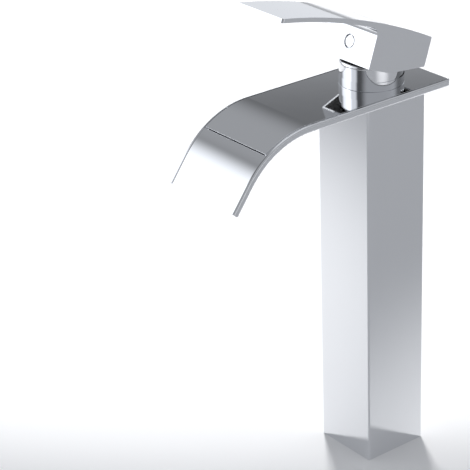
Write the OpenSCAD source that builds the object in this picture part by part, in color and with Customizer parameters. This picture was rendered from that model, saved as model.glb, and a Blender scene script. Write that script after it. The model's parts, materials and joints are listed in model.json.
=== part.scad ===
// Tall waterfall basin faucet with a single lever, for a deck or worktop.
// All lengths are millimetres. The origin is the centre of the column's foot, on the deck.
// +Z is up, the spout runs towards -Y, and the lever is shown open, as in use.

/* [Column] */
// Height of the column, from the deck to the underside of the spout
column_h = 255.6; // [150:0.1:330]
// Wall of the square column
column_wall = 2.6; // [2:0.1:4]
// Radius on the column's four outer corners
column_corner_r = 1.2; // [0.6:0.1:1.8]

/* [Spout] */
// Width of the spout over its rims
spout_w = 64; // [60:0.5:80]
// Thickness of the spout, which is the height of its side band
spout_t = 4.7; // [4.5:0.1:6]
// Distance from the column's axis back to the spout's rear end
spout_rear = 38; // [34:0.5:50]
// Distance from the column's axis forward to the start of the bend
spout_flat = 75; // [60:0.5:110]
// Radius of the bend, along the tops of the rims
bend_r = 62; // [45:0.5:90]
// Straight length after the bend
tip_len = 19.5; // [10:0.5:30]
// Thickness of each side rim
rim_w = 1.8; // [1.5:0.1:2.6]
// Radius along the rims' outer edges
rim_edge_r = 1.3; // [0.6:0.1:1.4]
// Height of the rims over the open tongue
rim_rise = 0.5; // [0.3:0.1:0.8]
// Thickness of the floor below the water way
floor_t = 3.1; // [2.7:0.1:3.2]
// Height of the water way under the cover
water_gap = 0.9; // [0.7:0.1:1]
// Angle round the bend at which the open tongue starts
cover_angle = 34; // [15:1:40]
// Width of the slot between the cover's end and the open tongue
slot_w = 0.9; // [0.6:0.1:1.5]
// Thickness of the cover
cover_t = 0.7; // [0.6:0.1:1]
// Width of the groove between the cover and each rim
groove_w = 0.6; // [0.4:0.1:2]

/* [Cartridge housing] */
// Diameter of the mixing cartridge's body
cartridge_d = 34.8; // [30:0.1:40]
// Wall of the sleeve that holds the cartridge
sleeve_wall = 1.7; // [1.5:0.1:2.5]
// How far the sleeve's collar stands out over its threaded ends
sleeve_step = 1.6; // [1.4:0.1:2.2]
// Height of the collar that shows above the spout
collar_h = 5.8; // [4:0.1:8]
// Height of the cap above the collar
cap_h = 11; // [10:0.1:11.2]
// How far the cap is set in from the collar
cap_step = 0.5; // [0.3:0.1:0.7]
// Radius of the cap's shoulder
cap_shoulder_r = 3; // [3:0.1:5]

/* [Lever] */
// Lift of the lever from shut, as shown
lever_lift = 19; // [0:1:25]
// Reach of the blade forward of the pivot
blade_reach = 101; // [80:0.5:130]
// Width of the blade at its end
blade_end_w = 42.3; // [34:0.1:44]
// Distance from the pivot to the hub's front face
hub_front = 24.3; // [23.8:0.1:30]
// Distance from the pivot to the hub's rear face
hub_rear = 22.6; // [22.4:0.1:28]
// Thinnest wall of the hub, beside the cap
hub_wall = 1; // [1:0.1:2]
// Radius of the long arch along the lever's top
arch_r = 380; // [300:5:600]
// Radius of the blade's underside
under_r = 340; // [260:5:500]
// Thickness of the blade at the crest of its underside
blade_t = 3.3; // [2.8:0.1:5]
// Diameter of the round plug on the hub's front face
plug_d = 8.4; // [7:0.1:10]

/* [Deck fixing] */
// Outer diameter of the hollow threaded shank
shank_d = 31.5; // [30:0.1:34]
// Bore of the shank, which the two hoses pass through
shank_bore = 27; // [26.5:0.1:28.5]
// Length of the shank below the deck
shank_below = 48; // [40:1:70]
// Thickness of the deck that the fixings are shown clamping
deck_t = 20; // [3:0.5:26]
// Radius of the bore of each hose inlet, an M10 x 1 thread
inlet_r = 4.5; // [4:0.1:5]

/* [Hidden] */

$fn = 96;

// Finishes
chrome = [0.78, 0.80, 0.82];
brass = [0.80, 0.66, 0.36];
copper = [0.78, 0.46, 0.32];
steel = [0.62, 0.63, 0.64];
rubber = [0.13, 0.13, 0.14];
ceramic = [0.93, 0.93, 0.91];
plastic = [0.88, 0.88, 0.86];
coupler_blue = [0.35, 0.47, 0.66];

// Fits
over = 1;            // how far a cut runs past the face that it opens
braze_gap = 0.1;     // solder film between brazed pieces
thread_gap = 0.05;   // between plain stand-ins for threads
running_gap = 0.05;  // radial clearance of a turning fit
slide_gap = 0.03;    // between the two lapped ceramic discs
loose_gap = 0.3;     // clearance of parts that pass through others

// Cartridge and sleeve radii
cartridge_r = cartridge_d / 2;
bore_gap = 0.2;
bore_r = cartridge_r + bore_gap;
spigot_r = bore_r + sleeve_wall;
collar_r = spigot_r + sleeve_step;
cap_r = collar_r - cap_step;

// Valve body and column, sized outwards from the sleeve's thread
valve_wall = 1.95;
valve_w = 2 * (spigot_r + thread_gap + valve_wall);
valve_corner_r = 0.9;
column_bore_w = valve_w + 2 * braze_gap;
column_bore_corner_r = 0.8;
column_w = column_bore_w + 2 * column_wall;

// Heights of the spout
rim_z = column_h + spout_t;
way_depth = spout_t - floor_t;
cover_seat = way_depth - water_gap;
pocket_w = spout_w - 2 * rim_w;
cover_w = pocket_w - 2 * groove_w;
ledge_w = 1.7;
way_w = cover_w - 2 * ledge_w;
cover_film = 0.05;
rim_cove_share = 0.8;
tongue_cove_r = rim_rise * rim_cove_share;
tip_under_r = 1.8;
tip_top_r = 1.2;

// The bend ends where the spout's fall has this slope, four down for three along
tip_fall_share = 4;
tip_level_share = 3;
bend_angle = atan2(tip_fall_share, tip_level_share);
slot_angle = slot_w / bend_r * 180 / PI;
cover_end_angle = cover_angle - slot_angle;
trim_angle = 2;
rear_corner_r = 1.4;

// The sleeve's collar stands on the cover
cover_top = cover_t - cover_seat;
collar_z = rim_z + cover_top;
cap_z = collar_z + collar_h;
cap_top_z = cap_z + cap_h;
collar_ring_w = 1.8;

// Cartridge heights, downwards from the pivot
pivot_rise = 1.95;
pivot_z = cap_z + pivot_rise;
neck_h = 9.4;
neck_above_pivot = 4.5;
shoulder_z = pivot_z + neck_above_pivot - neck_h;
cartridge_h = 24.1;
seat_z = shoulder_z - cartridge_h;
base_lift = 0.4;
base_t = 5;
base_z = seat_z + base_lift;
disc_z = base_z + base_t;
fixed_disc_t = 3.5;
moving_disc_t = 3.45;
moving_z = disc_z + fixed_disc_t + slide_gap;
coupler_z = moving_z + moving_disc_t;
coupler_t = 2.75;
carrier_z = coupler_z + coupler_t + loose_gap;
shell_wall = 1.8;
cavity_r = cartridge_r - shell_wall;
shell_roof = 2.9;
roof_z = shoulder_z - shell_roof;
neck_r = 11.8;
carrier_r = 9.55;
carrier_flange_r = cavity_r - loose_gap;
carrier_top_gap = 0.4;

// Ports and water ways
port_r = 2.6;
supply_x = 6.8;
inlet_y = -6;
outlet_y = 6;
gallery_drop = 7;
gallery_z = seat_z - gallery_drop;
riser_r = 2.9;
riser_wall = 1.4;
riser_at = valve_w / 2 - riser_wall - riser_r;
peg_r = 1.9;
peg_h = 3;
peg_x = 13;
peg_y = 5;
peg_gap = 0.1;

// Sleeve, nut and cap
nut_thread_depth = 0.6;
nut_r = bore_r + nut_thread_depth;
sleeve_engage = 8;
spigot_top_h = 5;
nut_bore_r = neck_r + loose_gap;
nut_top_drop = 0.5;
nut_slots = 4;
nut_slot_w = 3;
nut_slot_depth = 2;
cap_skirt_t = 1;
cap_roof_t = 1.2;
cap_hole_r = 14.5;
cap_end_gap = 0.4;

// Valve body
valve_top_gap = 0.8;
valve_top = column_h - valve_top_gap;
thread_floor_z = valve_top - sleeve_engage;
tube_r = 4;
tube_bore_r = 3;
tube_socket = 8;
valve_below_gallery = 27;
valve_bottom = gallery_z - valve_below_gallery;

// Base block, from the deck upwards
gasket_t = 1.5;
shank_socket = 10;
inlet_depth = 12;
inlet_web = 3;
base_block_h = shank_socket + inlet_depth + inlet_web + tube_socket;
inlet_z = gasket_t + shank_socket;
tube_foot_z = inlet_z + inlet_depth + inlet_web;
socket_end_gap = 0.1;
gasket_gap = 0.1;
gasket_hole_gap = 0.35;

// Fixings below the deck
washer_r = 26;
washer_gap = 0.25;
rubber_washer_t = 3;
steel_washer_t = 2;
mounting_nut_r = 26.6;
mounting_nut_t = 8;
shank_r = shank_d / 2;

// Stem and its drive, in the lever's own frame with the pivot at the origin
stem_w = 8;
stem_side_gap = 0.15;
stem_below = 5.5;
stem_above = 24;
leg_r = 1.7;
ball_r = 2.4;
leg_len = 13;
pin_r = 1.5;
pin_fit = 0.02;
pin_half_len = 9.3;
slot_front = 7.4;
slot_rear = 7.2;

// Discs and coupler: shut, the discs' centre is this far behind the axis
disc_shut_y = 3;
disc_y = disc_shut_y - leg_len * sin(lever_lift);
fixed_disc_r = 14;
moving_disc_r = 12;
recess_front = 3.9;
recess_rear = 9.6;
recess_front_w = 17;
recess_rear_w = 8;
recess_depth = 1.8;
key_w = 12;
key_gap = 0.1;
key_front = 8;
key_rear = 4;
key_h = 3;
key_channel_h = 3.3;
ball_gap = 0.2;
drive_peg_r = 1.2;
drive_peg_x = 8;
drive_peg_h = 1.2;
socket_floor = 0.95;

// Seals
seal_wire_r = 0.8;
seal_ring_r = 3.7;
seal_groove_w = 1.9;
seal_groove_d = 1.3;
seal_rest_gap = 0.02;

// Lever, in its own frame: the pivot is the origin and the blade lies level
pocket_gap = 1.2;
pocket_r = cap_r + pocket_gap;
hub_w = 2 * (pocket_r + hub_wall);
hub_foot = 3.5;
knee_y = 5.9;
knee_z = 2.7;
hub_rear_foot = 9.4;
arch_crest_y = -35;
arch_crest_z = 32.9;
under_crest_y = -42;
pocket_top = 25;
fillet_r = 5;
boss_r = 7.5;
boss_foot = 12.5;
socket_gap = 0.05;
socket_top_gap = 0.3;
rib_w = 9;
screw_z = 15.8;
screw_r = 2.45;
screw_hole_r = 2.5;
screw_len = 9;
screw_key_w = 2.5;
screw_key_depth = 3;
screw_tip_gap = 0.05;
plug_t = 1.9;
plug_inset = 0.3;
plug_gap = 0.05;
plug_edge = 0.6;
plug_mouth = 0.5;
plug_seat_gap = 0.1;
blade_corner_r = 1.5;
blade_corner_step = 15;
crown_height = 60;

// Flat shapes

module rounded_box_2d(w, h, r) {
    square([w - 2 * r, h], center = true);
    square([w, h - 2 * r], center = true);
    for (sx = [-1, 1], sy = [-1, 1])
        translate([sx * (w / 2 - r), sy * (h / 2 - r)]) circle(r);
}

// What a cutter removes to round a square corner that lies at the origin
module corner_2d(r) {
    difference() {
        translate([-over, -over]) square(r + over);
        translate([r, r]) circle(r);
    }
}

// Rounds the edge along X that lies at the origin, cutting towards +Y and +Z
module round_edge_x(r, len) {
    rotate([90, 0, 90])
        translate([0, 0, -len / 2])
            linear_extrude(len) corner_2d(r);
}

// A cross-section of the spout has x as height over the rims' tops and y across

module band_2d(low, high, w) {
    translate([low, -w / 2]) square([high - low, w]);
}

// Between the rims, with a cove along the foot of each rim
module tongue_2d() {
    half_in = pocket_w / 2 - tongue_cove_r;
    cove_x = tongue_cove_r - rim_rise;
    band_2d(-rim_rise, over, 2 * half_in);
    band_2d(cove_x, over, pocket_w);
    for (s = [-1, 1])
        translate([cove_x, s * half_in]) circle(tongue_cove_r);
}

module plate_2d() {
    translate([-spout_t / 2, 0]) rounded_box_2d(spout_t, spout_w, rim_edge_r);
}

module cover_2d() {
    band_2d(cover_film - cover_seat, cover_top, cover_w);
}

// Runs of the spout's path. The spout's own frame has its rims' tops at zero height,
// and every run is set out from the centre of the bend

module at_bend() {
    translate([0, -spout_flat, -bend_r]) children();
}

module flat_run(y_from, y_to) {
    at_bend()
        translate([0, y_from + spout_flat, bend_r])
            rotate([-90, -90, 0])
                linear_extrude(y_to - y_from) children();
}

module bend_run(a_from, a_to) {
    at_bend()
        rotate([0, -90, 180])
            rotate_extrude(angle = a_to - a_from, start = a_from, $fn = 360)
                translate([bend_r, 0]) children();
}

// The tip's own frame: its end at the rims' tops, with +Y back up the spout
module at_tip() {
    at_bend()
        rotate([bend_angle, 0, 0])
            translate([0, -tip_len, bend_r]) children();
}

module tip_run(past) {
    at_tip()
        translate([0, -past, 0])
            rotate([-90, -90, 0])
                linear_extrude(tip_len + past) children();
}

// The rest of the bend, swept a little too far and then cut square where the tip starts
module bend_to_tip(a_from) {
    difference() {
        bend_run(a_from, bend_angle + trim_angle) children();
        at_tip()
            translate([-spout_w, -bend_r, -bend_r]) cube([2 * spout_w, bend_r + tip_len, 2 * bend_r]);
    }
}

// Places what moves with the lever, from its own frame to the lift shown
module at_lift() {
    translate([0, 0, pivot_z]) rotate([-lever_lift, 0, 0]) children();
}

// Column and deck fixing

module column() {
    color(chrome)
        linear_extrude(column_h) difference() {
            rounded_box_2d(column_w, column_w, column_corner_r);
            rounded_box_2d(column_bore_w, column_bore_w, column_bore_corner_r);
        }
}

module base_block() {
    color(brass) difference() {
        translate([0, 0, gasket_t])
            linear_extrude(base_block_h) rounded_box_2d(valve_w, valve_w, valve_corner_r);
        translate([0, 0, gasket_t - over]) cylinder(r = shank_r + thread_gap, h = shank_socket + over);
        for (s = [-1, 1]) translate([s * supply_x, 0, 0]) {
            translate([0, 0, inlet_z - over]) cylinder(r = inlet_r, h = inlet_depth + over);
            translate([0, 0, inlet_z]) cylinder(r = tube_bore_r, h = base_block_h);
            translate([0, 0, tube_foot_z]) cylinder(r = tube_r + running_gap, h = tube_socket + over);
        }
    }
}

module deck_gasket() {
    gasket_w = column_bore_w - 2 * gasket_gap;
    color(rubber) linear_extrude(gasket_t) difference() {
        rounded_box_2d(gasket_w, gasket_w, column_bore_corner_r);
        circle(shank_r + gasket_hole_gap);
    }
}

module mounting_shank() {
    top = gasket_t + shank_socket - socket_end_gap;
    color(brass) translate([0, 0, -shank_below]) difference() {
        cylinder(r = shank_r, h = shank_below + top);
        translate([0, 0, -over]) cylinder(d = shank_bore, h = shank_below + top + 2 * over);
    }
}

module washer(top, r, t) {
    translate([0, 0, top - t]) difference() {
        cylinder(r = r, h = t);
        translate([0, 0, -over]) cylinder(r = shank_r + washer_gap, h = t + 2 * over);
    }
}

module rubber_washer() {
    color(rubber) washer(-deck_t, washer_r, rubber_washer_t);
}

module steel_washer() {
    color(steel) washer(-deck_t - rubber_washer_t, washer_r, steel_washer_t);
}

module mounting_nut() {
    top = -deck_t - rubber_washer_t - steel_washer_t;
    color(brass) translate([0, 0, top - mounting_nut_t]) difference() {
        cylinder(r = mounting_nut_r, h = mounting_nut_t, $fn = 6);
        translate([0, 0, -over])
            cylinder(r = shank_r + thread_gap, h = mounting_nut_t + 2 * over);
    }
}

// Water ways inside the column

module supply_tube(side) {
    foot = tube_foot_z + socket_end_gap;
    top = valve_bottom + tube_socket - socket_end_gap;
    color(copper) translate([side * supply_x, 0, foot]) difference() {
        cylinder(r = tube_r, h = top - foot);
        translate([0, 0, -over]) cylinder(r = tube_bore_r, h = top - foot + 2 * over);
    }
}

module hot_tube() {
    supply_tube(-1);
}

module cold_tube() {
    supply_tube(1);
}

module supply_passages() {
    for (s = [-1, 1]) translate([s * supply_x, 0, 0]) {
        translate([0, 0, valve_bottom - over])
            cylinder(r = tube_r + running_gap, h = tube_socket + over);
        translate([0, 0, valve_bottom])
            cylinder(r = port_r, h = gallery_z - valve_bottom);
        translate([0, inlet_y, gallery_z]) {
            rotate([-90, 0, 0]) cylinder(r = port_r, h = -inlet_y);
            cylinder(r = port_r, h = gallery_drop + over);
        }
        translate([0, 0, gallery_z]) sphere(port_r);
        translate([0, inlet_y, gallery_z]) sphere(port_r);
    }
}

module outlet_passages() {
    translate([0, outlet_y, gallery_z]) {
        cylinder(r = port_r, h = gallery_drop + over);
        sphere(port_r);
    }
    translate([0, -riser_at, gallery_z]) {
        rotate([-90, 0, 0]) cylinder(r = port_r, h = riser_at + outlet_y);
        rotate([0, 90, 0]) cylinder(r = riser_r, h = 2 * riser_at, center = true);
    }
    for (s = [-1, 1]) translate([s * riser_at, -riser_at, gallery_z]) {
        cylinder(r = riser_r, h = column_h - gallery_z);
        sphere(riser_r);
    }
}

module valve_body() {
    color(brass) difference() {
        translate([0, 0, valve_bottom])
            linear_extrude(valve_top - valve_bottom)
                rounded_box_2d(valve_w, valve_w, valve_corner_r);
        translate([0, 0, seat_z]) cylinder(r = bore_r, h = valve_top);
        translate([0, 0, thread_floor_z]) cylinder(r = spigot_r + thread_gap, h = valve_top);
        supply_passages();
        outlet_passages();
        for (s = [-1, 1])
            translate([s * peg_x, peg_y, seat_z - peg_h])
                cylinder(r = peg_r + peg_gap, h = peg_h + over);
    }
}

module spout_gasket() {
    color(rubber) translate([0, 0, valve_top]) linear_extrude(valve_top_gap) difference() {
        rounded_box_2d(valve_w, valve_w, valve_corner_r);
        circle(spigot_r + loose_gap);
        for (s = [-1, 1])
            translate([s * riser_at, -riser_at]) circle(riser_r);
    }
}

// Spout

module spout_plate() {
    flat_run(-spout_flat, spout_rear) plate_2d();
    bend_to_tip(0) plate_2d();
    tip_run(0) plate_2d();
}

module cover_pocket() {
    flat_run(-spout_flat, spout_rear + over) band_2d(-cover_seat, over, pocket_w);
    bend_run(0, cover_angle) band_2d(-cover_seat, over, pocket_w);
}

// The way starts behind the housing, and a ring round the sleeve is left standing in it
module water_way() {
    way_rear = collar_r + collar_ring_w;
    difference() {
        flat_run(-spout_flat, way_rear) band_2d(-way_depth, 0, way_w);
        translate([0, 0, -spout_t]) cylinder(r = spigot_r + collar_ring_w, h = spout_t);
    }
    bend_run(0, cover_angle) band_2d(-way_depth, 0, way_w);
}

// The water wells up out of the way through an open slot from rim to rim
module outlet_slot() {
    bend_run(cover_end_angle, cover_angle) band_2d(-way_depth, over, pocket_w);
}

module open_tongue() {
    bend_to_tip(cover_angle) tongue_2d();
    tip_run(over) tongue_2d();
}

module sleeve_hole() {
    translate([0, 0, -spout_t - over]) cylinder(r = spigot_r + loose_gap, h = 2 * (spout_t + over));
}

module rear_corners() {
    for (s = [-1, 1])
        translate([s * spout_w / 2, spout_rear, -spout_t - over])
            linear_extrude(spout_t + 2 * over)
                rotate(s > 0 ? 180 : -90) corner_2d(rear_corner_r);
}

module spout_body() {
    color(chrome) translate([0, 0, rim_z]) difference() {
        spout_plate();
        cover_pocket();
        water_way();
        outlet_slot();
        open_tongue();
        sleeve_hole();
        for (s = [-1, 1])
            translate([s * riser_at, -riser_at, -spout_t - over])
                cylinder(r = riser_r, h = floor_t + 2 * over);
        at_tip() {
            translate([0, 0, -spout_t]) round_edge_x(tip_under_r, spout_w + 2 * over);
            mirror([0, 0, 1]) round_edge_x(tip_top_r, spout_w + 2 * over);
        }
        rear_corners();
    }
}

module spout_cover() {
    color(chrome) translate([0, 0, rim_z]) difference() {
        union() {
            flat_run(-spout_flat, spout_rear) cover_2d();
            bend_run(0, cover_end_angle) cover_2d();
        }
        sleeve_hole();
    }
}

// Housing of the cartridge

module cartridge_sleeve() {
    foot = thread_floor_z + socket_end_gap;
    top = cap_z + spigot_top_h;
    nut_floor = shoulder_z - running_gap;
    color(chrome) difference() {
        union() {
            translate([0, 0, foot]) cylinder(r = spigot_r, h = top - foot);
            translate([0, 0, collar_z]) cylinder(r = collar_r, h = collar_h);
        }
        translate([0, 0, foot - over]) cylinder(r = bore_r, h = top - foot + 2 * over);
        translate([0, 0, nut_floor]) cylinder(r = nut_r, h = top - nut_floor + over);
    }
}

// Outline of the cap, turned round the axis
module cap_2d(r, h, shoulder) {
    square([r, h - shoulder]);
    square([r - shoulder, h]);
    translate([r - shoulder, h - shoulder]) circle(shoulder);
}

module sleeve_cap() {
    skirt_r = cap_r - cap_skirt_t;
    inner_h = cap_h - cap_roof_t;
    inner_shoulder = cap_shoulder_r - cap_skirt_t;
    color(chrome) translate([0, 0, cap_z]) difference() {
        rotate_extrude() intersection() {
            cap_2d(cap_r, cap_h, cap_shoulder_r);
            square([cap_r, cap_h]);
        }
        translate([0, 0, -over]) cylinder(r = skirt_r, h = inner_h - inner_shoulder + over);
        rotate_extrude() intersection() {
            cap_2d(skirt_r, inner_h, inner_shoulder);
            square([skirt_r, inner_h]);
        }
        cylinder(r = cap_hole_r, h = cap_h + over);
    }
}

module retaining_nut() {
    top = cap_z + spigot_top_h - nut_top_drop;
    nut_h = top - shoulder_z;
    outer_r = nut_r - thread_gap;
    color(brass) translate([0, 0, shoulder_z]) difference() {
        cylinder(r = outer_r, h = nut_h);
        translate([0, 0, -over]) cylinder(r = nut_bore_r, h = nut_h + 2 * over);
        for (i = [0 : nut_slots - 1])
            rotate(i * 360 / nut_slots)
                translate([nut_bore_r - over, -nut_slot_w / 2, nut_h - nut_slot_depth])
                    cube([outer_r, nut_slot_w, nut_slot_depth + over]);
    }
}

// Mixing cartridge

module seal_places() {
    for (s = [-1, 1])
        translate([s * supply_x, inlet_y, 0]) children();
    translate([0, outlet_y, 0]) children();
}

module cartridge_base() {
    color(plastic) difference() {
        union() {
            translate([0, 0, base_z]) cylinder(r = cartridge_r, h = base_t);
            for (s = [-1, 1])
                translate([s * peg_x, peg_y, base_z - peg_h])
                    cylinder(r = peg_r, h = peg_h + over);
        }
        seal_places() {
            translate([0, 0, base_z - over]) cylinder(r = port_r, h = base_t + 2 * over);
            translate([0, 0, base_z - over]) seal_groove(seal_groove_d + over);
            translate([0, 0, disc_z - seal_groove_d]) seal_groove(seal_groove_d + over);
        }
    }
}

module seal_groove(depth) {
    difference() {
        cylinder(r = seal_ring_r + seal_groove_w / 2, h = depth);
        cylinder(r = seal_ring_r - seal_groove_w / 2, h = depth);
    }
}

module seal_ring() {
    rotate_extrude() translate([seal_ring_r, 0]) circle(seal_wire_r);
}

module port_seals() {
    color(rubber) seal_places()
        translate([0, 0, seat_z + seal_wire_r + seal_rest_gap]) seal_ring();
}

// The upper seals lie flat in their grooves, pressed level by the fixed disc
module disc_seals() {
    seal_h = seal_groove_d - 2 * seal_rest_gap;
    color(rubber) seal_places()
        translate([0, 0, disc_z - seal_groove_d + seal_rest_gap]) difference() {
            cylinder(r = seal_ring_r + seal_wire_r, h = seal_h);
            translate([0, 0, -over]) cylinder(r = seal_ring_r - seal_wire_r, h = seal_h + 2 * over);
        }
}

module fixed_disc() {
    color(ceramic) difference() {
        translate([0, 0, disc_z]) cylinder(r = fixed_disc_r, h = fixed_disc_t);
        seal_places()
            translate([0, 0, disc_z - over]) cylinder(r = port_r, h = fixed_disc_t + 2 * over);
    }
}

module moving_disc() {
    front = recess_front_w / 2;
    rear = recess_rear_w / 2;
    color(ceramic) translate([0, disc_y, moving_z]) difference() {
        cylinder(r = moving_disc_r, h = moving_disc_t);
        translate([0, 0, -over]) linear_extrude(recess_depth + over) polygon([
            [-front, -recess_front], [front, -recess_front], [rear, recess_rear], [-rear, recess_rear]
        ]);
        for (s = [-1, 1])
            translate([s * drive_peg_x, 0, moving_disc_t - drive_peg_h - socket_end_gap])
                cylinder(r = drive_peg_r + running_gap, h = drive_peg_h + over);
    }
}

// Slides in the carrier's channel, pushed by the ball at the foot of the stem
module disc_coupler() {
    pocket_w = 2 * (ball_r + ball_gap);
    color(coupler_blue) translate([0, disc_y, coupler_z]) difference() {
        union() {
            cylinder(r = moving_disc_r, h = coupler_t);
            translate([-key_w / 2, -key_front, 0])
                cube([key_w, key_front + key_rear, coupler_t + key_h]);
            for (s = [-1, 1])
                translate([s * drive_peg_x, 0, -drive_peg_h]) cylinder(r = drive_peg_r, h = coupler_t);
        }
        translate([-pocket_w / 2, -disc_shut_y - pocket_w / 2, socket_floor])
            cube([pocket_w, pocket_w, coupler_t + key_h]);
    }
}

module stem_carrier() {
    top = shoulder_z + neck_h + carrier_top_gap;
    flange_h = roof_z - loose_gap - carrier_z;
    slot_w = stem_w + 2 * stem_side_gap;
    channel_w = key_w + 2 * key_gap;
    color(plastic) difference() {
        union() {
            translate([0, 0, carrier_z]) cylinder(r = carrier_flange_r, h = flange_h);
            translate([0, 0, carrier_z]) cylinder(r = carrier_r, h = top - carrier_z);
        }
        translate([-channel_w / 2, -carrier_flange_r - over, carrier_z - over])
            cube([channel_w, 2 * (carrier_flange_r + over), key_channel_h + over]);
        translate([-slot_w / 2, -slot_front, carrier_z - over])
            cube([slot_w, slot_front + slot_rear, top - carrier_z + 2 * over]);
        translate([0, 0, pivot_z])
            rotate([0, 90, 0])
                cylinder(r = pin_r + pin_fit, h = 2 * (carrier_r + over), center = true);
    }
}

module cartridge_shell() {
    color(plastic) difference() {
        union() {
            translate([0, 0, disc_z]) cylinder(r = cartridge_r, h = shoulder_z - disc_z);
            translate([0, 0, disc_z]) cylinder(r = neck_r, h = shoulder_z + neck_h - disc_z);
        }
        translate([0, 0, disc_z - over]) cylinder(r = cavity_r, h = roof_z - disc_z + over);
        translate([0, 0, roof_z - over])
            cylinder(r = carrier_r + running_gap, h = shoulder_z + neck_h - roof_z + 2 * over);
    }
}

module pivot_pin() {
    color(steel)
        translate([0, 0, pivot_z])
            rotate([0, 90, 0]) cylinder(r = pin_r, h = 2 * pin_half_len, center = true);
}

module lever_stem() {
    color(steel) at_lift() difference() {
        union() {
            translate([-stem_w / 2, -stem_w / 2, -stem_below])
                cube([stem_w, stem_w, stem_below + stem_above]);
            translate([0, 0, -leg_len]) cylinder(r = leg_r, h = leg_len);
            translate([0, 0, -leg_len]) sphere(ball_r);
        }
        rotate([0, 90, 0]) cylinder(r = pin_r + running_gap, h = stem_w + 2 * over, center = true);
    }
}

// Lever

// Side view of the lever: x runs along the blade, y is up
module lever_side_2d() {
    arch_y = arch_crest_z - arch_r;
    under_z = arch_crest_z - blade_t - under_r;
    fillet_x = -hub_front - fillet_r;
    fillet_z = under_z + sqrt(pow(under_r - fillet_r, 2) - pow(fillet_x - under_crest_y, 2));
    touch_x = fillet_x + (fillet_x - under_crest_y) * fillet_r / (under_r - fillet_r);
    intersection() {
        translate([arch_crest_y, arch_y]) circle(arch_r, $fn = 1440);
        union() {
            polygon([
                [-hub_front, hub_foot], [-knee_y, knee_z], [hub_rear, hub_rear_foot],
                [hub_rear, crown_height], [-hub_front, crown_height]
            ]);
            difference() {
                translate([-blade_reach, 0]) square([blade_reach - hub_front, crown_height]);
                translate([under_crest_y, under_z]) circle(under_r, $fn = 1440);
            }
            difference() {
                translate([touch_x, fillet_z]) square([-hub_front - touch_x, fillet_r + over]);
                translate([fillet_x, fillet_z]) circle(fillet_r);
            }
        }
    }
}

// Plan of the lever: full width at the hub, tapering to the blade's rounded end
module lever_plan_2d() {
    half_end = blade_end_w / 2;
    half_hub = hub_w / 2;
    r = blade_corner_r;
    corner = [for (a = [0 : blade_corner_step : 90]) [
        half_end - r + r * cos(a), r - blade_reach - r * sin(a)
    ]];
    side = concat([[half_hub, hub_rear + over], [half_hub, -hub_front]], corner);
    other = [for (i = [len(side) - 1 : -1 : 0]) [-side[i][0], side[i][1]]];
    polygon(concat(side, other));
}

module lever_hollow() {
    difference() {
        cylinder(r = pocket_r, h = pocket_top);
        translate([0, 0, boss_foot]) cylinder(r = boss_r, h = pocket_top);
        translate([-rib_w / 2, -pocket_r - over, boss_foot]) cube([rib_w, pocket_r + over, pocket_top]);
    }
}

module lever() {
    socket_w = stem_w + 2 * socket_gap;
    plug_bore_t = plug_t + plug_inset + plug_seat_gap;
    color(chrome) at_lift() difference() {
        intersection() {
            rotate([90, 0, 90])
                translate([0, 0, -hub_w / 2])
                    linear_extrude(hub_w) lever_side_2d();
            linear_extrude(crown_height) lever_plan_2d();
        }
        lever_hollow();
        translate([-socket_w / 2, -socket_w / 2, 0])
            cube([socket_w, socket_w, stem_above + socket_top_gap]);
        translate([0, 0, screw_z]) rotate([90, 0, 0]) {
            cylinder(r = screw_hole_r, h = hub_front);
            translate([0, 0, hub_front - plug_bore_t])
                cylinder(d = plug_d, h = plug_bore_t + over);
            translate([0, 0, hub_front - plug_mouth])
                cylinder(d1 = plug_d, d2 = plug_d + 2 * (plug_mouth + over), h = plug_mouth + over);
        }
    }
}

module lever_screw() {
    color(steel) at_lift()
        translate([0, -stem_w / 2 - screw_tip_gap, screw_z])
            rotate([90, 0, 0]) difference() {
                cylinder(r = screw_r, h = screw_len);
                translate([0, 0, screw_len - screw_key_depth])
                    cylinder(d = screw_key_w / cos(30), h = screw_key_depth + over, $fn = 6);
            }
}

module lever_plug() {
    r = plug_d / 2 - plug_gap;
    color(chrome) at_lift()
        translate([0, -hub_front + plug_inset + plug_t, screw_z])
            rotate([90, 0, 0]) {
                cylinder(r = r, h = plug_t - plug_edge);
                translate([0, 0, plug_t - plug_edge]) cylinder(r1 = r, r2 = r - plug_edge, h = plug_edge);
            }
}

column();
base_block();
deck_gasket();
mounting_shank();
rubber_washer();
steel_washer();
mounting_nut();
hot_tube();
cold_tube();
valve_body();
spout_gasket();
spout_body();
spout_cover();
cartridge_sleeve();
sleeve_cap();
retaining_nut();
cartridge_shell();
cartridge_base();
port_seals();
disc_seals();
fixed_disc();
moving_disc();
disc_coupler();
stem_carrier();
pivot_pin();
lever_stem();
lever();
lever_screw();
lever_plug();
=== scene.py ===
import json
import math

import bpy
from mathutils import Matrix, Vector


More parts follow.
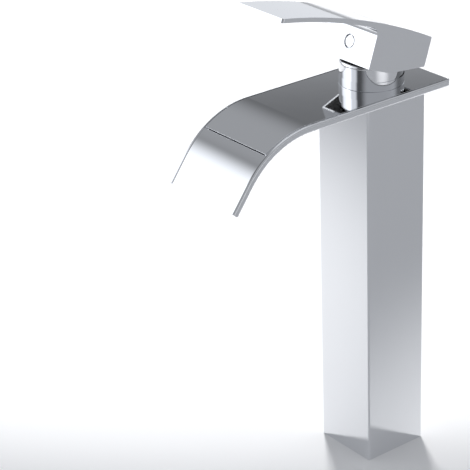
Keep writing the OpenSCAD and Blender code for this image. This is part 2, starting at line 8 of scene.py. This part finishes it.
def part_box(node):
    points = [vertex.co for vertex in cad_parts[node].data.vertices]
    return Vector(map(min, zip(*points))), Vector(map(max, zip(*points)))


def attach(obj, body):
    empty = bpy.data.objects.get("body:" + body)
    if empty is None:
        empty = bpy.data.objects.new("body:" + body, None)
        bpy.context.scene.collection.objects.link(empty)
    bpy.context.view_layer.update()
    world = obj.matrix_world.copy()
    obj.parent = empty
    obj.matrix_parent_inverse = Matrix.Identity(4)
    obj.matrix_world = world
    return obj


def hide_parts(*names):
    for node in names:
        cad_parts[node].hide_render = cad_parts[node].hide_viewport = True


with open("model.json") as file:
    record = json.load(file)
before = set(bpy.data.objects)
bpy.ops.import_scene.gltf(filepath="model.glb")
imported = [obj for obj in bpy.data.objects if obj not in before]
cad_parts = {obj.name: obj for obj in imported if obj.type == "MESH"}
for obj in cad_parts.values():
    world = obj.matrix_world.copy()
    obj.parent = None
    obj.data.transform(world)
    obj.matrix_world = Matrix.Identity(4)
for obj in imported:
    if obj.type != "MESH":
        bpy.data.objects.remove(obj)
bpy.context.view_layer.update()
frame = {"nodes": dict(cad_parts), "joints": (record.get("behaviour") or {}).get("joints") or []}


# Camera. The faucet is seen from its front right and a little above, with a long lens,
# and the camera is rolled about two degrees so that the column leans as it was pictured.
turn, tilt, roll = math.radians(53.231), math.radians(25.462), math.radians(-2.177)
forward = Vector((-math.sin(turn) * math.cos(tilt), math.cos(turn) * math.cos(tilt),
                  -math.sin(tilt)))
level = Vector((math.cos(turn), math.sin(turn), 0))
above = level.cross(forward)
right = level * math.cos(roll) + above * math.sin(roll)
up = above * math.cos(roll) - level * math.sin(roll)

picture_width_px = 470
focal_length_px = 1841.54
lens = bpy.data.cameras.new("camera")
lens.sensor_width = 36
lens.lens = lens.sensor_width * focal_length_px / picture_width_px
lens.clip_start, lens.clip_end = 0.05, 40
camera = bpy.data.objects.new("camera", lens)
standpoint = (0.81812, -0.72298, 0.6743)
place = Matrix((right, up, -forward)).transposed().to_4x4()
place.translation = standpoint
camera.matrix_world = place
bpy.context.scene.collection.objects.link(camera)
bpy.context.scene.camera = camera


# Floor. One wide sheet of pale seamless paper, matt and finely grained, laid level with
# the foot of the faucet's gasket.
class Socket:
    """One output of a node, or a number, with Math nodes behind its operators."""

    def __init__(self, nodes, value):
        self.nodes, self.value = nodes, value

    def math(self, operation, *others):
        operands = dict(enumerate((self,) + others))
        return self.nodes.add("ShaderNodeMath", {"operation": operation}, operands)[0]

    def __add__(self, other):
        return self.math("ADD", other)

    def __sub__(self, other):
        return self.math("SUBTRACT", other)

    def __rsub__(self, other):
        return self.nodes.wrap(other).math("SUBTRACT", self)

    def __mul__(self, other):
        return self.math("MULTIPLY", other)

    __radd__ = __add__
    __rmul__ = __mul__


class Nodes:
    """The node tree of one finish, cleared, with one way of adding a node."""

    def __init__(self, owner):
        owner.use_nodes = True
        self.tree = owner.node_tree
        self.tree.nodes.clear()

    def wrap(self, value):
        return value if isinstance(value, Socket) else Socket(self, value)

    def add(self, kind, settings=None, sockets=None):
        node = self.tree.nodes.new(kind)
        for name, value in (settings or {}).items():
            setattr(node, name, value)
        for name, value in (sockets or {}).items():
            value = value.value if isinstance(value, Socket) else value
            if isinstance(value, bpy.types.NodeSocket):
                self.tree.links.new(value, node.inputs[name])
            else:
                node.inputs[name].default_value = value
        return [Socket(self, out) for out in node.outputs]


def surface_point(nodes):
    object_coordinates = 3
    return nodes.add("ShaderNodeTexCoord")[object_coordinates]


def speckle(nodes, point, scale, detail, distortion=0.0):
    sizes = {"Vector": point, "Scale": scale, "Detail": detail, "Distortion": distortion}
    return nodes.add("ShaderNodeTexNoise", None, sizes)[0]


def relief(nodes, height, strength, distance):
    depths = {"Height": height, "Strength": strength, "Distance": distance}
    return nodes.add("ShaderNodeBump", None, depths)[0]


def finish_surface(nodes, colour, metallic, roughness, normal):
    inputs = {"Base Color": colour, "Metallic": metallic, "Roughness": roughness, "Normal": normal}
    surface = nodes.add("ShaderNodeBsdfPrincipled", None, inputs)[0]
    nodes.add("ShaderNodeOutputMaterial", None, {"Surface": surface})


floor_paper = bpy.data.materials.new("floor_paper")
paper = Nodes(floor_paper)
paper_fibres = speckle(paper, surface_point(paper), scale=400, detail=3)
paper_grain = relief(paper, paper_fibres, strength=0.02, distance=0.0005)
paper_white = (0.93, 0.93, 0.935, 1)
finish_surface(paper, paper_white, metallic=0.0, roughness=0.8, normal=paper_grain)

floor_width = 8
bpy.ops.object.select_all(action="DESELECT")
bpy.ops.mesh.primitive_plane_add(size=floor_width, location=(0, 0, 0))
floor = bpy.context.object
floor.name = "floor"
floor.data.materials.append(floor_paper)


# Lamps. Three soft lamps hang over the floor and shine straight down: one at the
# faucet's left, one far behind that, and a narrow one to the right for the sleeve.
def hanging_lamp(name, x, y, angle, blend, radius, power):
    hanging_height = 2.5
    lamp = bpy.data.lights.new(name, "SPOT")
    lamp.spot_size, lamp.spot_blend = math.radians(angle), blend
    lamp.shadow_soft_size = radius
    lamp.energy = power
    holder = bpy.data.objects.new(name, lamp)
    holder.matrix_world = Matrix.Translation((x, y, hanging_height))
    bpy.context.scene.collection.objects.link(holder)


hanging_lamp("left", -0.60, 0.37, angle=35.7, blend=0.24, radius=0.08, power=190)
hanging_lamp("behind_left", -1.9, 1.5, angle=66, blend=0.7, radius=0.4, power=200)
hanging_lamp("right", 1.15, -0.02, angle=24, blend=0.3, radius=0.12, power=170)


# Room. A dim grey studio that the chrome mirrors. White soft boxes stand at its front
# left, high at its left and under the ceiling, with a low glow at the left. The wall at
# the right is pale, and the one behind the faucet a little less dim than the rest.
room = bpy.data.worlds.new("room")
bpy.context.scene.world = room
air = Nodes(room)
ray = air.add("ShaderNodeTexCoord")[0]
vector_number = 1


def facing_share(x, y, z):
    ways = {0: ray, 1: (x, y, z)}
    return air.add("ShaderNodeVectorMath", {"operation": "DOT_PRODUCT"}, ways)[vector_number]


def fade(nodes, value, start, end):
    limits = {"Value": value, "From Min": start, "From Max": end}
    return nodes.add("ShaderNodeMapRange", {"interpolation_type": "SMOOTHSTEP"}, limits)[0]


low_band = fade(air, facing_share(0, 0, 1).math("ABSOLUTE"), 0.38, 0.26)
left_glow = low_band * fade(air, facing_share(-0.9, 0.4, 0), 0.1, 0.6)
left_box = fade(air, facing_share(-0.752, -0.622, 0.22), 0.87, 0.992)
front_box = fade(air, facing_share(-0.40, -0.85, 0.34), 0.905, 0.975)
ceiling_box = fade(air, facing_share(0.1, 0.25, 0.96), 0.80, 0.95)
high_left_box = fade(air, facing_share(-0.72, 0.05, 0.69), 0.82, 0.995)
rear_wall = fade(air, facing_share(-0.8, 0.6, 0), -0.75, 0.1)
right_wall = fade(air, facing_share(0.95, -0.12, 0.3), 0.35, 0.75)
boxes = 1.3 * left_box + 0.85 * front_box + 0.6 * ceiling_box + 0.22 * high_left_box
walls = 0.70 * left_glow + 0.08 * rear_wall + 0.34 * right_wall
dim_grey = 0.10
brightness = boxes + walls + dim_grey
cool_white = (0.95, 0.975, 1.02, 1)
light = air.add("ShaderNodeBackground", None, {"Color": cool_white, "Strength": brightness})[0]
air.add("ShaderNodeOutputWorld", None, {"Surface": light})
bpy.context.scene.view_settings.view_transform = "Standard"


# Chrome. The column, spout, cover, collar, cap, lever and plug are brass, ground and
# buffed to a mirror and then plated. Faint wipe marks and a soft orange peel stay in it.
def stretched(nodes, point, scale):
    return nodes.add("ShaderNodeMapping", None, {"Vector": point, "Scale": scale})[0]


def blended_colour(nodes, share, first, second):
    share_in, first_in, second_in, colour_out = 0, 6, 7, 2
    ends = {share_in: share, first_in: first, second_in: second}
    return nodes.add("ShaderNodeMix", {"data_type": "RGBA"}, ends)[colour_out]


chrome_tint = (0.80, 0.81, 0.83)
chrome_roughness = 0.015
polished_chrome = bpy.data.materials.new("polished_chrome")
plating = Nodes(polished_chrome)
point = surface_point(plating)
wiped = speckle(plating, point, scale=30, detail=4, distortion=0.6)
streaks = speckle(plating, stretched(plating, point, (900, 900, 60)), scale=1, detail=2)
waves = speckle(plating, point, scale=55, detail=1)
orange_peel = relief(plating, waves, strength=0.02, distance=0.0004)
wiped_tint = (*[0.985 * channel for channel in chrome_tint], 1)
chrome_colour = blended_colour(plating, wiped, wiped_tint, (*chrome_tint, 1))
chrome_wear = chrome_roughness + 0.035 * wiped + 0.015 * streaks
finish_surface(plating, chrome_colour, metallic=1.0, roughness=chrome_wear, normal=orange_peel)


def wear(finish, *pieces):
    for piece in pieces:
        for slot in frame["nodes"][piece].material_slots:
            slot.material = finish


wear(polished_chrome, "column", "spout_body", "spout_cover", "cartridge_sleeve", "sleeve_cap",
     "lever", "lever_plug")


# Brass. The blocks in the column, the shank, the fixing nut and the retaining nut are
# turned or milled from bar, with fine tool marks and a slight tarnish.
def turned_finish(name, bright, dull, base_roughness, mark_scale):
    finish = bpy.data.materials.new(name)
    nodes = Nodes(finish)
    point = surface_point(nodes)
    tarnish = speckle(nodes, point, scale=60, detail=5)
    marks = speckle(nodes, stretched(nodes, point, (20, 20, mark_scale)), scale=1, detail=2)
    tool_marks = relief(nodes, marks, strength=0.12, distance=0.0001)
    colour = blended_colour(nodes, tarnish, (*dull, 1), (*bright, 1))
    roughness = base_roughness + 0.15 * tarnish
    finish_surface(nodes, colour, metallic=1.0, roughness=roughness, normal=tool_marks)
    return finish


turned_brass = turned_finish("turned_brass", bright=(0.83, 0.64, 0.32), dull=(0.62, 0.46, 0.22),
                             base_roughness=0.22, mark_scale=3000)
wear(turned_brass, "base_block", "mounting_shank", "mounting_nut", "valve_body", "retaining_nut")


# Copper tubes. Two drawn tubes, one for the hot supply and one for the cold, run up the
# column and are soldered into the blocks at both ends.
drawn_copper = turned_finish("drawn_copper", bright=(0.86, 0.48, 0.33), dull=(0.60, 0.30, 0.20),
                             base_roughness=0.25, mark_scale=200)
wear(drawn_copper, "hot_tube", "cold_tube")


# Steel. The fixing washer is stamped, and the pin, stem and set screw are turned from
# stainless bar.
plain_steel = turned_finish("plain_steel", bright=(0.66, 0.67, 0.68), dull=(0.52, 0.52, 0.53),
                            base_roughness=0.28, mark_scale=2500)
wear(plain_steel, "steel_washer", "pivot_pin", "lever_stem", "lever_screw")


# Rubber. The deck gasket, spout gasket, washer and sealing rings are moulded nitrile,
# nearly black and matt, with a fine moulded skin.
def moulded_finish(name, bright, dull, base_roughness, grain_scale, grain_depth):
    finish = bpy.data.materials.new(name)
    nodes = Nodes(finish)
    point = surface_point(nodes)
    cloud = speckle(nodes, point, scale=90, detail=4)
    grain = speckle(nodes, point, scale=grain_scale, detail=2)
    skin = relief(nodes, grain, strength=grain_depth, distance=0.0001)
    colour = blended_colour(nodes, cloud, (*dull, 1), (*bright, 1))
    roughness = base_roughness + 0.1 * cloud
    finish_surface(nodes, colour, metallic=0.0, roughness=roughness, normal=skin)
    return finish


black_rubber = moulded_finish("black_rubber", bright=(0.035, 0.035, 0.037),
                              dull=(0.02, 0.02, 0.021), base_roughness=0.6,
                              grain_scale=2500, grain_depth=0.3)
wear(black_rubber, "deck_gasket", "rubber_washer", "spout_gasket", "port_seals", "disc_seals")


# Cartridge. The shell, base and stem carrier are white moulded plastic, the coupler is
# blue, and the two discs are lapped white ceramic.
white_plastic = moulded_finish("white_plastic", bright=(0.82, 0.82, 0.79),
                               dull=(0.74, 0.74, 0.71), base_roughness=0.38,
                               grain_scale=1800, grain_depth=0.15)
blue_plastic = moulded_finish("blue_plastic", bright=(0.10, 0.20, 0.45),
                              dull=(0.07, 0.15, 0.36), base_roughness=0.36,
                              grain_scale=1800, grain_depth=0.15)
lapped_ceramic = moulded_finish("lapped_ceramic", bright=(0.90, 0.90, 0.87),
                                dull=(0.85, 0.85, 0.82), base_roughness=0.12,
                                grain_scale=4000, grain_depth=0.05)
wear(white_plastic, "cartridge_shell", "cartridge_base", "stem_carrier")
wear(blue_plastic, "disc_coupler")
wear(lapped_ceramic, "fixed_disc", "moving_disc")


# Lever. One hollow brass casting, ground all over, so that its edges are a little rounded
# before it is plated. It is a copy of the frame's lever with those edges eased.
def fold_angles(mesh):
    sides = {}
    for face in mesh.polygons:
        for key in face.edge_keys:
            sides.setdefault(key, []).append(face.normal)
    return {key: pair[0].angle(pair[1]) for key, pair in sides.items() if len(pair) == 2}


def eased(node, body, width, lowest=-math.inf, highest=math.inf):
    piece = bpy.data.objects.new(node + "_eased", frame["nodes"][node].data.copy())
    bpy.context.scene.collection.objects.link(piece)
    bpy.ops.object.select_all(action="DESELECT")
    piece.select_set(True)
    bpy.context.view_layer.objects.active = piece

    same_point, flat_fold = 2e-6, math.radians(0.2)
    bpy.ops.object.mode_set(mode="EDIT")
    bpy.ops.mesh.select_all(action="SELECT")
    bpy.ops.mesh.remove_doubles(threshold=same_point)
    bpy.ops.mesh.dissolve_limited(angle_limit=flat_fold)
    bpy.ops.object.mode_set(mode="OBJECT")

    sharp_fold, smooth_fold = math.radians(40), math.radians(50)
    worked = piece.data.attributes.new("bevel_weight_edge", "FLOAT", "EDGE")
    corners = piece.data.vertices
    folds = fold_angles(piece.data)
    for edge in piece.data.edges:
        ends = [corners[corner].co.z for corner in edge.vertices]
        if folds.get(edge.key, 0) > sharp_fold and lowest < min(ends) and max(ends) < highest:
            worked.data[edge.index].value = 1

    ease = piece.modifiers.new("ease", "BEVEL")
    ease.width, ease.segments, ease.limit_method = width, 3, "WEIGHT"
    bpy.ops.object.modifier_apply(modifier="ease")
    bpy.ops.object.shade_smooth_by_angle(angle=smooth_fold)
    level_out = piece.modifiers.new("level_out", "WEIGHTED_NORMAL")
    level_out.weight, level_out.keep_sharp = 100, True
    bpy.ops.object.modifier_apply(modifier="level_out")
    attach(piece, body)
    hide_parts(node)
    return piece


ground_edge = 0.0008
lever = eased("lever", "lever", ground_edge)


# Inside the hub. Painted shade: its hollow and its underside are coloured near black, dull
# and dark, where shade falls. The lower edge of its walls is buffed bright with the outside.
hub_half_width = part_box("lever")[1][0]
hub_front, hub_rear = 0.0243, 0.0226
hub_wall = 0.001
hollow_radius = hub_half_width - hub_wall
hollow_top, foot_top = 0.0252, 0.012
buffed_width = 0.0011
soft_border = 0.0001

lift_hinge = next(joint for joint in frame["joints"] if joint["name"] == "lever_lift")
pivot = Vector(lift_hinge["pos_m"])
lift = math.radians(-lift_hinge["range_deg"][0])
lay_level = Matrix.Rotation(lift, 3, "X")

painted_shade_inside = bpy.data.materials.new("painted_shade_inside")
shade_nodes = Nodes(painted_shade_inside)
point = surface_point(shade_nodes)
laid_level = {"Vector": point, "Location": -(lay_level @ pivot), "Rotation": (lift, 0, 0)}
lever_point = shade_nodes.add("ShaderNodeMapping", None, laid_level)[0]
across, along = shade_nodes.add("ShaderNodeSeparateXYZ", None, {"Vector": lever_point})[:2]
in_plan = {0: lever_point, 1: (1, 1, 0)}
plan_point = shade_nodes.add("ShaderNodeVectorMath", {"operation": "MULTIPLY"}, in_plan)[0]
plan_length = shade_nodes.add("ShaderNodeVectorMath", {"operation": "LENGTH"}, {0: plan_point})
from_axis = plan_length[vector_number]


def buffed_beyond(value, edge):
    return fade(shade_nodes, value, edge - soft_border, edge)


side_edge = buffed_beyond(across.math("ABSOLUTE"), hub_half_width - buffed_width)
front_edge = buffed_beyond(along.math("MULTIPLY", -1), hub_front - buffed_width)
rear_edge = buffed_beyond(along, hub_rear - buffed_width)
outside_hollow = buffed_beyond(from_axis, hollow_radius + 2 * soft_border)
buffed = side_edge.math("MAXIMUM", front_edge).math("MAXIMUM", rear_edge) * outside_hollow
shade_cloud = speckle(shade_nodes, point, scale=60, detail=5)
# Painted shade: near-black colours, a little clouded, for the hollow and the underside of the hub.
shade_dark, shade_pale = (0.016, 0.015, 0.015, 1), (0.035, 0.034, 0.033, 1)
shade_colour = blended_colour(shade_nodes, shade_cloud, shade_dark, shade_pale)
shade_and_chrome_colour = blended_colour(shade_nodes, buffed, shade_colour, (*chrome_tint, 1))
shade_and_chrome_metallic = 0.5 + 0.5 * buffed
shade_and_chrome_roughness = 0.7 - 0.6 * buffed
sand_grain = speckle(shade_nodes, point, scale=900, detail=2)
sand = relief(shade_nodes, sand_grain, strength=0.12, distance=0.0001)
finish_surface(shade_nodes, shade_and_chrome_colour, shade_and_chrome_metallic, shade_and_chrome_roughness, normal=sand)

# Painted shade: the faces under the hub and in its hollow take this near-black finish.
lever.data.materials.append(painted_shade_inside)
downward, eased_side = -0.95, 0.0003
for face in lever.data.polygons:
    at, facing = lay_level @ (face.center - pivot), lay_level @ face.normal
    under = facing.z < downward and at.z < foot_top and at.y > -hub_front
    in_hollow = math.hypot(at.x, at.y) < hollow_radius + 2 * soft_border and at.z < hollow_top
    if (under or in_hollow) and abs(at.x) < hub_half_width - eased_side:
        face.material_index = len(lever.data.materials) - 1


# Sleeve. The collar is turned from brass bar and plated. Its foot is broken with a fine
# chamfer, which draws the joint round it where it clamps the spout.
foot_chamfer = 0.0003
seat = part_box("spout_cover")[1][2]
seat_reach = 0.0001
eased("cartridge_sleeve", "base", foot_chamfer, seat - seat_reach, seat + seat_reach)


# Cover. The flat plate let into the spout is brass strip, bent with the spout and plated.
# Its edges are buffed a little round.
buffed_edge = 0.00015
eased("spout_cover", "base", buffed_edge)
